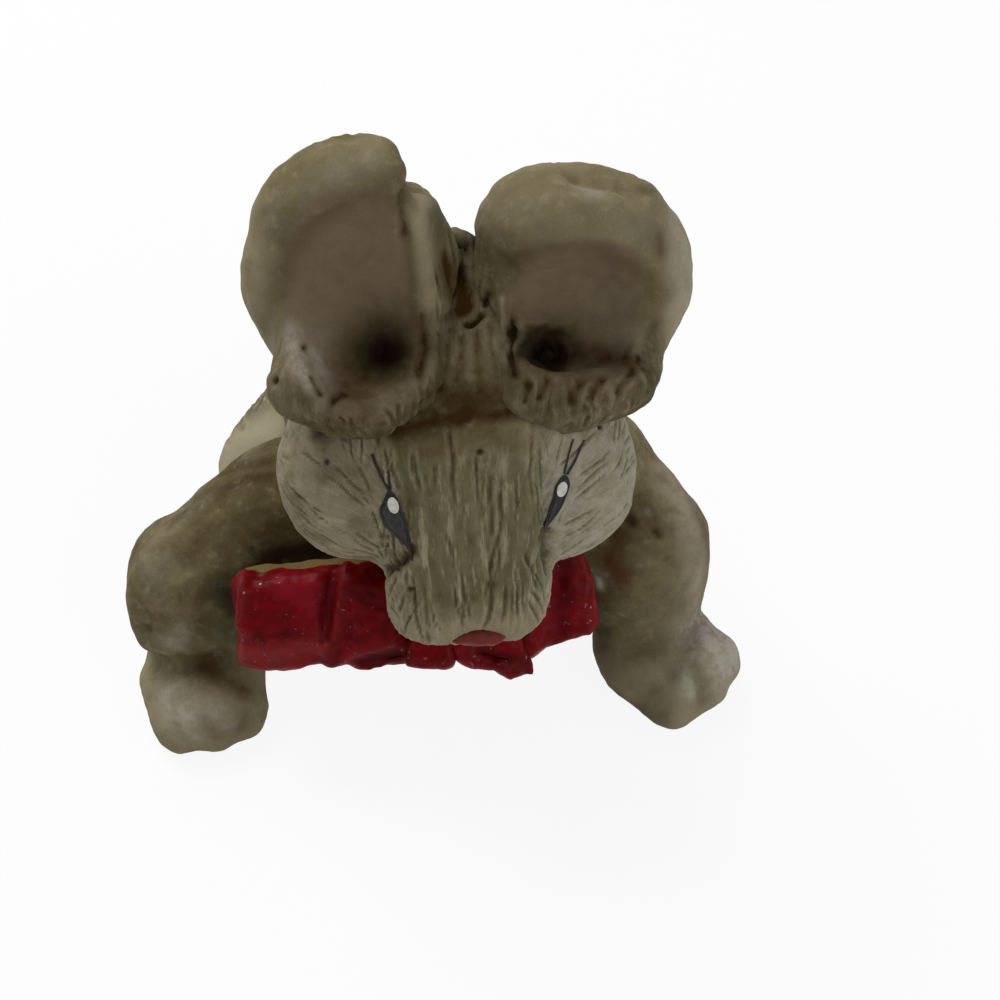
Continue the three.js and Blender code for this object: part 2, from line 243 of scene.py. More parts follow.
def bowPaint():
    paint, size = Paint("bowPaint"), bowGrains
    bloom = paint.speckle(size["bloom"], 3, 0.6).between(0.5, 0.68)
    cloud = paint.speckle(size["cloud"], 4, 0.6).between(0.4, 0.66)
    mottle = paint.speckle(size["mottle"], 3, 0.6)
    glint = paint.speckle(size["glint"], 1).between(0.72, 0.75)
    paint.coats(bowTones, "red", [
        # the deep red laid in the bow's folds and undersides is painted shade
        ("deep", cloud * 0.65), ("rose", bloom * 0.6), ("deep", paint.mask("wash") * 0.85),
        # painted highlight along the lit edges and lower bands
        ("worn", paint.mask("worn") * (mottle * 0.8 + 0.4)),
        ("worn", paint.mask("dry") * mottle.between(0.4, 0.7) * 0.3), ("bare", paint.mask("bare")),
    ])
    paint.feed("Roughness", 0.34 + mottle * 0.14 + paint.mask("bare") * 0.4 - glint * 0.2)
    paint.feed("Coat Weight", glint * 0.9)
    paint.feed("Specular IOR Level", 0.06)
    paint.feed("Coat Roughness", 0.12)
    paint.bump(mottle * 0.7 + glint, 0.35, 0.15)
    return paint.material


noseTones = {"red": tone(114, 34, 33), "dull": tone(86, 24, 23), "worn": tone(128, 82, 66)}
noseGrains = {"mottle": 0.7, "pits": 0.25}


def nosePaint():
    paint = Paint("nosePaint")
    mottle = paint.speckle(noseGrains["mottle"], 3, 0.6)
    paint.coats(noseTones, "red", [
        ("dull", mottle.between(0.35, 0.65)), ("worn", paint.mask("dry") * mottle.between(0.4, 0.6) * 0.4),
    ])
    paint.feed("Roughness", 0.5 + mottle * 0.2)
    paint.feed("Specular IOR Level", 0.15)
    paint.bump(paint.speckle(noseGrains["pits"], 2), 0.3, 0.1)
    return paint.material


eyeTones = {
    "eyeBlack": (tone(24, 20, 16), tone(34, 29, 24)), "eyeGrey": (tone(50, 49, 48), tone(38, 37, 37)),
    "eyeWhite": (tone(214, 212, 202), tone(190, 187, 176)),
}
eyeGrain = 0.5    # mm


def eyePaint(name):
    paint = Paint(name)
    grain = paint.speckle(eyeGrain, 2)
    paint.feed("Base Color", grain.between(0.35, 0.7).blend(*eyeTones[name]))
    paint.feed("Roughness", 0.4 + grain * 0.2)
    paint.feed("Specular IOR Level", 0.2)
    paint.bump(grain, 0.2, 0.05)
    return paint.material


# sculpting

def fade(low, high, value):
    share = np.clip((value - low) / (high - low), 0, 1)
    return share * share * (3 - 2 * share)


def lengths(rows):
    return np.sqrt((rows * rows).sum(1))


def waves(points, size, shift=(0, 0, 0)):
    # smooth noise at the points, in waves of about that size
    start = Vector(shift)
    return np.array([noise.noise(Vector(point) / size + start) for point in points])


def readRows(collection, field, width, kind):
    rows = np.zeros(len(collection) * width, kind)
    collection.foreach_get(field, rows)
    return rows.reshape(-1, width)


def meltedSkin(node, look):
    # a copy of the solid's skin, melted to even squares, eased and divided finely
    shape = bmesh.new()
    shape.from_mesh(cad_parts[node].data)
    bmesh.ops.remove_doubles(shape, verts=shape.verts, dist=1e-6)
    rough = bpy.data.meshes.new(node + "Rough")
    shape.to_mesh(rough)
    shape.free()
    blank = bpy.data.objects.new(node + "Blank", rough)
    bpy.context.scene.collection.objects.link(blank)
    melt = blank.modifiers.new("melt", "REMESH")
    melt.mode = "VOXEL"
    melt.voxel_size = look["voxel"] * mm
    ease = blank.modifiers.new("ease", "SMOOTH")
    ease.factor = 0.5
    ease.iterations = look["ease"]
    fine = blank.modifiers.new("fine", "SUBSURF")
    fine.levels = fine.render_levels = look["levels"]
    ready = blank.evaluated_get(bpy.context.evaluated_depsgraph_get())
    skin = bpy.data.meshes.new_from_object(ready)
    skin.name = node + "Skin"
    skin.materials.clear()
    bpy.data.objects.remove(blank)
    bpy.data.meshes.remove(rough)
    return skin


def solidTree(names):
    # the solids with those names as one search tree, in mm
    corners, faces = [], []
    for name in names:
        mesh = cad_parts[name].data
        start = len(corners)
        corners += [vertex.co / mm for vertex in mesh.vertices]
        faces += [[start + corner for corner in face.vertices] for face in mesh.polygons]
    return BVHTree.FromPolygons(corners, faces)


def addPiece(name, mesh, material):
    mesh.polygons.foreach_set("use_smooth", np.ones(len(mesh.polygons), bool))
    mesh.materials.append(material)
    piece = bpy.data.objects.new(name, mesh)
    bpy.context.scene.collection.objects.link(piece)
    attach(piece, "root")
    return piece


def mark(width, depth, *along, **paint):
    # a line in the picture that is worked into a casting: its size in mm, raised if the depth is
    # below zero, its spots, and how much of each paint lies in it
    return {"width": width, "depth": depth, "along": along, "paint": paint}


class Clay:
    # the skin of one casting while it is worked on, in mm
    def __init__(self, node, look):
        self.node = node
        self.mesh = meltedSkin(node, look)
        self.points = readRows(self.mesh.vertices, "co", 3, np.float32).astype(float) / mm
        self.edges = readRows(self.mesh.edges, "vertices", 2, np.int32)
        self.size = len(self.points)
        self.neighbours = np.bincount(self.edges.ravel(), minlength=self.size).astype(float)
        self.masks = {}
        self.facing = self.normals()
        self.push(np.full(self.size, look["swell"]))
        self.cut = np.zeros(self.size)
        self.burr = np.zeros(self.size)

    def normals(self):
        self.mesh.vertices.foreach_set("co", (self.points * mm).astype(np.float32).ravel())
        self.mesh.update()
        return readRows(self.mesh.vertex_normals, "vector", 3, np.float32).astype(float)

    def push(self, amount):
        self.points += self.facing * amount[:, None]
        self.facing = self.normals()

    def average(self, values):
        total = np.zeros_like(values)
        first, second = self.edges[:, 0], self.edges[:, 1]
        for column in range(values.shape[1]):
            total[:, column] = np.bincount(first, values[second, column], self.size)
            total[:, column] += np.bincount(second, values[first, column], self.size)
        return total / self.neighbours[:, None]

    def soften(self, values, rounds):
        for turn in range(rounds):
            values = values * 0.5 + self.average(values) * 0.5
        return values

    def calm(self, weight, rounds):
        # eases the skin where the weight is high
        self.points += (self.soften(self.points, rounds) - self.points) * weight[:, None]
        self.facing = self.normals()

    def skinTree(self, points):
        faces = [list(face.vertices) for face in self.mesh.polygons]
        return BVHTree.FromPolygons([Vector(point) for point in points], faces)

    def lumps(self, kinds, seed):
        # uneven swellings: the size and height of each kind, and what it adds to the seed
        for size, depth, extra in kinds:
            turn = seed + extra
            self.push(waves(self.points, size, (turn * 3.7, turn * 1.3, turn * 2.1)) * depth)

    def tint(self, name, amount):
        held = self.masks.get(name, np.zeros(self.size))
        self.masks[name] = np.clip(np.maximum(held, amount), 0, 1)

    def join(self, others, reach, seam, share=1):
        # the joint to other castings is smoothed over where it is open to view, and darkened with brown wash,
        # partly as painted shade
        tree = solidTree(others)
        gap, faced = np.full(self.size, 100.0), np.zeros(self.size)
        for index, point in enumerate(self.points):
            place, out, face, away = tree.find_nearest(Vector(point), reach)
            if place is not None:
                gap[index] = away
                faced[index] = (np.array(place) - point).dot(self.facing[index]) / max(away, 0.05)
        swell = np.clip(1 - gap / reach, 0, 1) ** 2 * reach / 4 * fade(0.95, 0.5, faced) * share
        self.push(self.soften(swell[:, None], 8)[:, 0])
        self.tint("seam", np.exp(-(gap / 1.3) ** 2) * seam)

    def trace(self, tree, spots):
        # the places on the casting that lie behind a line drawn in the picture
        found = []
        ends = list(zip(spots, spots[1:])) or [(spots[0], spots[0])]
        for (startX, startY), (endX, endY) in ends:
            steps = max(1, int(math.hypot(endX - startX, endY - startY) / 5))
            for step in range(steps + 1):
                share = step / steps
                eye, ray = sightLine(startX + (endX - startX) * share, startY + (endY - startY) * share)
                place = tree.ray_cast(eye, ray)[0]
                if place is not None:
                    found.append(np.array(place))
        return found

    def awayFrom(self, places):
        # squared distance from a line through the places
        away = np.full(self.size, 1e9)
        for start, end in zip(places, places[1:]):
            run, rows = end - start, self.points - start
            share = np.clip(rows.dot(run) / max(run.dot(run), 1e-6), 0, 1)
            away = np.minimum(away, ((rows - share[:, None] * run) ** 2).sum(1))
        return away

    def work(self, marks):
        # dents, creases and ridges along lines in the picture, with the paint that lies in them
        tree = self.skinTree(self.points)
        for line in marks:
            near = np.exp(-self.awayFrom(self.trace(tree, line["along"])) / line["width"] ** 2)
            self.push(-near * line["depth"])
            for name, amount in line["paint"].items():
                self.tint(name, near * amount)

    def comb(self, look, weight, flow):
        # carved fur: tapered grooves along the flow, each with a low burr beside it
        dice = np.random.RandomState(look["seed"])
        tree = KDTree(self.size)
        for index, point in enumerate(self.points):
            tree.insert(point, index)
        tree.balance()
        starts = dice.choice(self.size, look["strokes"], p=weight / weight.sum())
        for start, direction in zip(starts, flow(self.points[starts])):
            place, out = self.points[start], self.facing[start]
            along = direction - out * direction.dot(out)
            if np.linalg.norm(along) < 0.2 * np.linalg.norm(direction):
                continue
            along = along / np.linalg.norm(along)
            turn = dice.normal(0, look["stray"])
            along = along * math.cos(turn) + np.cross(out, along) * math.sin(turn)
            aside = np.cross(out, along)
            length = look["length"] * dice.uniform(0.5, 1.5)
            width = look["width"] * dice.uniform(0.7, 1.4)
            depth = look["depth"] * dice.uniform(0.4, 1.2)
            bend, start = dice.uniform(0.02, 0.12), dice.uniform(0, 6)
            near = np.array([hit[1] for hit in tree.find_range(place, length / 2 + width)])
            rows = self.points[near] - place
            level = self.facing[near].dot(out)
            reach = np.clip(1 - (2 * rows.dot(along) / length) ** 2, 0, 1) * fade(0.2, 0.6, level)
            wander = bend * np.sin(rows.dot(along) * 1.3 + start)
            across = np.abs(rows.dot(aside) + wander) / width
            self.cut[near] = np.maximum(self.cut[near], depth * reach * np.exp(-across ** 2))
            beside = depth * 0.7 * reach * np.exp(-((across - 1.9) / 0.8) ** 2)
            self.burr[near] = np.maximum(self.burr[near], beside)

    def carve(self):
        self.push(self.burr - self.cut)
        self.cut[:] = 0
        self.burr[:] = 0

    def settlePaint(self, depth, amount=1):
        # a thin wash runs into the grooves, and more of it into the broad hollows as painted shade, and a dry
        # brush catches the ridges
        fine = ((self.soften(self.points, 10) - self.points) * self.facing).sum(1)
        broad = ((self.soften(self.points, 60) - self.points) * self.facing).sum(1)
        self.tint("wash", (fade(0, depth, fine) * 0.75 + fade(0.05, 0.5, broad) * 0.5) * amount)
        self.tint("dry", fade(0, depth, -fine))

    def layFur(self, strand, rows, combed):
        # tells the paint which way the fur lies, how large a strand is and how strongly it is combed
        self.lie = np.stack(rows, 1) / strand
        self.tint("combed", combed)

    def ridges(self, stretch, depth):
        # low uneven ridges along the lie of the fur
        self.push(waves(self.lie * np.array(stretch), 1) * self.masks["combed"] * depth)

    def coat(self, look, others, seed, weight):
        # the joint, lumps and carved fur of the trunk, a hind leg or the tail
        self.join(others, look["joint"], seam=0.6)
        self.lumps(look["lumps"], seed)
        self.comb(dict(look["fur"], seed=seed), weight, oneWay(*look["flow"]))
        self.carve()
        self.settlePaint(look["washDepth"])

    def finish(self, name, material):
        self.points[:, 2] = np.maximum(self.points[:, 2], 0)    # the soles stay flat on the floor
        self.normals()
        for mask, amount in self.masks.items():
            layer = self.mesh.attributes.new(mask, "FLOAT", "POINT")
            layer.data.foreach_set("value", amount.astype(np.float32))
        if "combed" in self.masks:
            layer = self.mesh.attributes.new("lie", "FLOAT_VECTOR", "POINT")
            layer.data.foreach_set("vector", self.lie.astype(np.float32).ravel())
        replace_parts(addPiece(name, self.mesh, material), self.node)
        print(name, "done,", len(self.mesh.polygons), "faces")


def oneWay(x, y, z):
    # fur that lies the same way all over
    return lambda places: np.tile(np.array((x, y, z), float), (len(places), 1))


# head

headLook = {
    "voxel": 1, "ease": 5, "levels": 2, "swell": 0.25, "washDepth": 0.07, "joint": 7,
    "centre": Vector((2, -25, 41)) + centring, "nose": Vector((0, -17, -14)),
    "bridge": {"strokes": 120, "length": 5.5, "width": 0.17, "depth": 0.22, "stray": 0.06, "seed": 3},
    "cheeks": {"strokes": 320, "length": 4.4, "width": 0.16, "depth": 0.15, "stray": 0.1, "seed": 4},
    "crown": {"strokes": 260, "length": 4, "width": 0.32, "depth": 0.1, "stray": 0.15, "seed": 5},
    "strand": (0.9, 5.5, 1), "ridge": {"stretch": (0.75, 1.3, 1), "depth": 0.25},
    "noseTip": Vector((3.4, -40.8, 31.2)), "noseReach": 3.6, "lipCorner": (7, -10, -7), "fan": 8,
    "cheekStart": 7.6, "flatten": 0.4, "lumps": [(5, 0.3, 0), (1.3, 0.08, 1)], "seed": 1,
    # the darkening marks here lay painted shade in the creases, the hollow between the ears and the band
    # under the ear lips, along with the brown wash, and near-black painted shadow in the gaps and pits
    "marks": [
        mark(0.6, 0.9, (382, 574), (392, 570), (402, 562), (410, 552), wash=0.8),
        mark(1.1, 0.9, (382, 570), (386, 570)),
        mark(1.5, -0.4, (392, 584), (400, 578), pale=0.4),
        mark(1.3, -0.6, (436, 647), (460, 651), (484, 651), (516, 647)),
        mark(0.8, 0.7, (556, 582), (549, 570), (545, 535), wash=0.6),
        mark(0.9, 0.25, (400, 435), (407, 490), (412, 545), wash=0.2),
        mark(0.9, 0.25, (553, 435), (549, 490), (545, 535), wash=0.2),
        mark(1.4, 0.5, (395, 428), (440, 418), (480, 414), (525, 410), (560, 418), seam=1),
        mark(2.6, 0, (425, 405), (470, 398), (520, 396), seam=1),
        mark(0.6, 0.2, (449, 330), (446, 358), (440, 388), wash=0.15),
        mark(0.5, 0.12, (462, 338), (461, 366), (456, 380), wash=0.1),
        mark(0.7, 0.16, (477, 334), (477, 362), (480, 392), wash=0.15),
        mark(0.5, 0.14, (490, 326), (492, 352), (498, 376), wash=0.1),
        mark(0.7, -0.15, (469, 330), (469, 358), (468, 376), pale=0.2),
        mark(0.6, -0.15, (484, 320), (485, 348), (489, 370), pale=0.25),
        mark(2, 1.2, (452, 272), (458, 286), (462, 300), seam=1),
        mark(0.9, 0.9, (442, 247), (452, 245), (466, 246), soot=0.9),
        mark(0.5, 0.7, (470, 322), (481, 312), soot=0.9),
        mark(0.4, 0.5, (487, 294), (485, 303), soot=0.7),
        mark(0.28, 0.4, (411, 589), soot=0.9),
        mark(0.25, 0.3, (326, 462), soot=0.7),
        mark(0.3, 0.4, (600, 426), soot=0.8),
        mark(0.3, 0.35, (480, 452), soot=0.5),
    ],
}


def makeHead(paint):
    look = headLook
    clay = Clay("head", look)
    centre, flatten = np.array(look["centre"]), look["flatten"]
    lipSide, lipFront, lipHeight = look["lipCorner"]
    x, front, height = (clay.points - centre).T
    side = np.abs(x)
    bridge = fade(8.4, 7, side) * fade(-6, -9, front)
    cheeks = fade(6.8, 8.2, side) * fade(2, -2, front) * fade(11, 7, height)
    crown = (1 - bridge) * (1 - cheeks) * fade(-12, -9, height)
    brow, forehead, chin = fade(5, 8, height), fade(9, 6.5, height), fade(-4, -8, height)
    crest = fade(7, 9.5, height) * fade(7, 4, side)
    scratched = cheeks * (0.25 + fade(-4, -9, x) * fade(4, -2, height))
    nearNose = np.exp(-(lengths(clay.points - np.array(look["noseTip"])) / look["noseReach"]) ** 2)

    def flow(places):
        # the fur runs up the bridge from the nose, and over each cheek from the corner of the lips
        away = places - np.array(look["centre"] + look["nose"])
        away[:, 0] *= flatten
        aside = places[:, 0] - look["centre"].x
        fan = places - centre
        fan[:, 0] = aside - np.sign(aside) * lipSide
        fan[:, 1:] = (fan[:, 1:] - look["lipCorner"][1:]) * flatten
        return np.where((np.abs(aside) > look["cheekStart"])[:, None], fan, away)

    reach = np.hypot(front - look["nose"].y, height - look["nose"].z) + 4
    out, rise = side - lipSide + 2, (front + height - lipFront - lipHeight) * 0.5
    onCheek = cheeks > bridge
    across = np.where(onCheek, np.arctan2(rise, out) * look["fan"], x * (14 / reach) ** 0.4)
    reach = np.where(onCheek, np.hypot(rise, out), reach)
    combed = bridge * fade(9.5, 6.5, height) * 0.75 + cheeks * 0.6 + crown * (0.3 + brow * 0.3)
    combed = combed * (1 - nearNose)
    clay.layFur(look["strand"], (across, reach, np.zeros(clay.size)), combed)
    clay.join(["ear_left", "ear_right"], look["joint"], seam=0.35)
    clay.calm(crown * brow, rounds=40)
    clay.lumps(look["lumps"], look["seed"])
    clay.ridges(**look["ridge"])
    clay.work(look["marks"])
    clay.comb(look["bridge"], bridge * (1 - nearNose) * forehead + 1e-6, flow)
    clay.comb(look["cheeks"], scratched + 1e-6, flow)
    clay.comb(look["crown"], crown * fade(-3, 3, front) + 1e-6, flow)
    clay.carve()
    clay.settlePaint(look["washDepth"])
    clay.tint("pale", cheeks * 0.55 + chin * 0.6)
    clay.tint("white", cheeks * (0.1 + fade(0, 4, x) * 0.35))
    clay.tint("stain", fade(7, 11, height) * 0.8 + cheeks * fade(2, -6, x) * 0.75)
    # the crest between the ears darkened, partly as painted shade
    clay.tint("seam", crest * 0.5)
    clay.finish("headCasting", paint)
    return clay


# ears

earLook = {
    "voxel": 0.62, "ease": 6, "levels": 2, "swell": 0.28, "washDepth": 0.07, "joint": 7,
    "dish": (8.3, 6.6), "dishForward": 10.6, "canalBack": 6.3, "canalUp": 3.6,
    "fur": {"strokes": 260, "length": 3.6, "width": 0.28, "depth": 0.15, "stray": 0.2},
    "strand": (0.9, 0.9, 5), "lumps": [(4.5, 0.45, 0), (1.5, 0.12, 1)],
    "canalSeam": 4.8, "canalSoot": 2.9, "ragged": 1.6,
    "left": {
        "root": Vector((12.8, -1, 8)), "back": 0.27, "tilt": 0.02, "open": -0.1, "wide": 1.06, "tall": 0.88,
        "dishMiddle": 9.9, "dishTall": 7.4, "canalAside": -3.4, "mauveSpan": (-7.3, 5),
        "den": {"x": (-6.4, -1.2), "z": (3.2, 6.8), "depth": 0.6},
        "seed": 11, "whiteness": 0.15, "tipPale": 0.35, "rimPale": 1, "lipWash": 0.2,
        # the darkening marks here lay painted shade under the flap's crease and round the canal and lip,
        # along with the brown wash, and near-black painted shadow in pits and gaps
        "marks": [
            mark(1.5, 0.4, (507, 266), (538, 253), (570, 250), (600, 253), (639, 274), (664, 292),
                 wash=0.5),
            mark(1.9, 0.3, (570, 352), (605, 358), (630, 362), seam=1),
            mark(1.5, 0, (548, 376), (585, 376), (622, 368), seam=0.55),
            # painted highlight on the lit outer rim
            mark(2.4, 0, (676, 215), (686, 260), (684, 300), white=0.35),
            mark(0.6, 0.5, (511, 322), (511, 348), (514, 374), soot=0.6),
            mark(0.5, -0.35, (503, 300), (502, 330), (505, 362), pale=0.5),
            mark(1, 0.3, (655, 330), (640, 365), (618, 385), seam=0.5),
            mark(0.5, 0.5, (540, 398), (548, 380), wash=0.6),
            mark(0.5, 0.5, (572, 402), (580, 382), wash=0.6),
            mark(0.45, 0.45, (590, 398), (602, 378), wash=0.6),
            mark(0.5, 0.4, (618, 393), (632, 368), wash=0.6),
            mark(0.5, 0.5, (524, 402), (528, 385), wash=0.6),
            mark(0.5, -0.4, (634, 350), (622, 378), (608, 404), pale=0.6),
            mark(0.9, -0.3, (556, 378), (590, 372), (612, 366), pale=0.4),
            mark(2, 1.2, (580, 172), (602, 176), (624, 182)),
            mark(3.2, 0.9, (480, 200), (486, 184), (500, 174)),
            mark(1.4, -0.7, (650, 192), (655, 200), pale=0.3),
            mark(0.7, 0.1, (644, 190), (650, 194), wash=0.6),
            mark(0.8, 0.1, (660, 238), (662, 250), wash=0.6),
            mark(1.2, -0.1, (590, 188), (596, 190), white=0.35),
            mark(2, 0.5, (452, 272), (458, 286), (464, 300), seam=1),
            mark(0.6, 0.4, (472, 321), (480, 314), soot=0.7),
            mark(0.5, 0.3, (487, 295), (485, 302), soot=0.6),
        ],
    },
    "right": {
        "root": Vector((-9.3, -1, 9.6)), "back": 0.27, "tilt": 0, "open": 0.1, "wide": 1, "tall": 0.97,
        "dishMiddle": 10.5, "dishTall": 9.8, "canalAside": 2, "mauveSpan": (-8.2, 5.3),
        "den": {"x": (0.4, 3.6), "z": (2, 4.4), "depth": 0},
        "seed": 12, "whiteness": 0.2, "tipPale": 0, "rimPale": 0.7, "lipWash": 0.45,
        # the darkening marks here lay painted shade below the flap and beside its edge, along with the brown
        # wash, and near-black painted shadow in pits
        "marks": [
            mark(1.5, 0.4, (270, 300), (276, 285), (290, 258), (307, 234), (335, 212), (362, 198),
                 (398, 196), wash=0.5),
            mark(0.7, 0.8, (405, 172), (406, 200), (407, 236), wash=0.7),
            mark(0.8, 0.25, (407, 236), (411, 280), (414, 320), wash=0.4),
            mark(2, 0.5, (452, 272), (458, 286), (460, 300), seam=1),
            mark(1.8, 0.2, (388, 184), (400, 205), wash=0.5),
            mark(1.8, -0.8, (384, 148), (394, 172)),
            mark(1.3, -0.5, (417, 200), (420, 225), (426, 262), (430, 300), pale=0.8),
            mark(0.6, 0.35, (421, 318), (426, 345), (420, 375), wash=0.5),
            mark(0.6, -0.35, (434, 330), (430, 365), (420, 396), pale=0.5),
            mark(2.8, 0, (372, 362), (352, 380), (345, 392), seam=1),
            mark(0.4, 0.4, (262, 341), soot=0.8),
            mark(0.5, 0.4, (270, 366), soot=0.8),
            mark(0.4, 0.4, (275, 381), soot=0.8),
            mark(0.45, 0.3, (304, 348), soot=0.7),
            mark(1.2, 0.3, (268, 310), (262, 330), wash=0.4),
            mark(0.8, -0.35, (318, 412), (352, 410), (385, 402), (412, 388), pale=0.4),
            mark(1.2, -0.15, (290, 335), (297, 362), (308, 385), white=0.4),
            mark(1, -0.1, (314, 355), (322, 372), (334, 388), white=0.35),
            mark(0.8, 0.2, (300, 392), (306, 402), wash=0.5),
            mark(0.5, 0.3, (330, 410), (335, 400), (343, 394), soot=0.5),
            mark(0.4, 0.3, (312, 378), (320, 394), soot=0.4),
            mark(1.2, -0.2, (342, 172), (346, 176), white=0.15),
            mark(1.8, -0.2, (370, 158), (376, 168), pale=0.3),
            mark(1.6, 0.25, (352, 165), (358, 182), wash=0.2),
        ],
    },
}


def earPlacing(ear):
    turn = Matrix.Rotation(ear["open"], 4, "Z") @ Matrix.Rotation(ear["tilt"], 4, "Y")
    turn = turn @ Matrix.Rotation(-ear["back"], 4, "X")
    root = ear["root"] + headLook["centre"]
    return Matrix.Translation(root) @ turn @ Matrix.Diagonal((ear["wide"], 1, ear["tall"], 1))


def canalMouth(den, points, x, z):
    # the mouth of the ear's canal, with uneven edges, which is painted dark as shadow
    (left, right), (low, high) = den["x"], den["z"]
    ragged = waves(points, earLook["ragged"])
    x, z = x + ragged, z - ragged
    mouth = fade(left - 0.8, left + 0.8, x) * fade(right + 2, right - 1.6, x)
    return mouth * fade(low - 1.4, low + 1, z) * fade(high + 0.9, high - 0.9, z)


def makeEar(side, paint):
    look, ear = earLook, earLook[side]
    clay = Clay("ear_" + side, look)
    inward = 1 if side == "right" else -1
    placing = earPlacing(ear)
    home = np.array(placing.inverted())
    spot = clay.points.dot(home[:3, :3].T) + home[:3, 3]    # in the ear's own frame, root at the origin
    x, y, z = spot.T
    wide, deep = look["dish"]
    hollow = (x / wide) ** 2 + ((y + look["dishForward"]) / deep) ** 2
    hollow = np.sqrt(hollow + ((z - ear["dishMiddle"]) / ear["dishTall"]) ** 2)
    inside = fade(1.2, 1.06, hollow)
    canal = lengths(spot - np.array((ear["canalAside"], -look["canalBack"], look["canalUp"])))
    lip = fade(6, 2.5, z) * fade(-2, -5, y)
    medial = fade(4, 7, x * inward) * fade(15, 10, z)
    rear = fade(-1, 2, y)
    furry = (1 - inside) * np.clip(lip + medial * 0.4 + rear * 0.4, 0, 1)
    clay.layFur(look["strand"], (x, y, z), furry * 0.5)
    clay.join(["head"], look["joint"], seam=0.35, share=fade(15, 10, z))
    plain = np.clip(fade(5.5, 3.5, canal) * 0.3 + fade(4, 7, z) * (1 - rear), 0, 1)
    clay.calm(plain, rounds=110)
    clay.lumps(look["lumps"], ear["seed"])
    den = canalMouth(ear["den"], clay.points, x, z) * fade(-9.6, -8.4, y) * (1 - rear)
    clay.push(-den * ear["den"]["depth"])
    clay.work(ear["marks"])
    tipward = placing.to_3x3() @ Vector((0, 0.1, 1))
    clay.comb(dict(look["fur"], seed=ear["seed"]), furry + 1e-7, oneWay(*tipward))
    clay.carve()
    clay.settlePaint(look["washDepth"])
    low, high = ear["mauveSpan"]
    span = fade(low - 0.5, low + 0.5, x) * fade(high + 0.5, high - 0.5, x)
    outer = fade(1, 5, -x * inward) * fade(9, 5, z) * inside
    clay.tint("mauve", inside * fade(1.8, 4.5, canal) * span)
    # painted shade fading out round the canal
    clay.tint("seam", np.exp(-(canal / look["canalSeam"]) ** 2))
    # the canal's mouth and pit are painted near-black as shadow
    clay.tint("soot", np.maximum(np.exp(-(canal / look["canalSoot"]) ** 2) * 1.2, den * 0.85))
    clay.tint("wash", lip * (1 - inside) * ear["lipWash"])
    clay.tint("white", outer * ear["whiteness"])
    clay.tint("stain", np.clip(lip * 0.9 + medial * fade(12, 7, z) * 0.5 + 0.25, 0, 1))
    clay.tint("pale", fade(14, 19, z) * ear["tipPale"])
    # the outer rim is painted pale, and more strongly on the left ear, as painted light
    clay.tint("pale", fade(6, 9, -x * inward) * ear["rimPale"])
    clay.finish("earCasting_" + side, paint)


# trunk and limbs

torsoLook = {
    "voxel": 1.26, "ease": 8, "levels": 2, "swell": 0.25, "washDepth": 0.1, "joint": 5,
    "fur": {"strokes": 1500, "length": 6, "width": 0.45, "depth": 0.3, "stray": 0.2},
    "strand": (0.6, 0.6, 6), "flow": (0, 1, -0.15), "lumps": [(7, 0.4, 0)], "seed": 21,
}


def makeTorso(paint):
    look = torsoLook
    clay = Clay("torso", look)
    x, y, z = clay.points.T
    clay.layFur(look["strand"], (x, z, y), 0.7)
    clay.coat(look, ["hind_leg_left", "hind_leg_right", "tail"], look["seed"], np.ones(clay.size))
    clay.tint("pale", fade(14, 6, z) * 0.6)
    clay.tint("stain", 0.3)
    clay.finish("torsoCasting", paint)


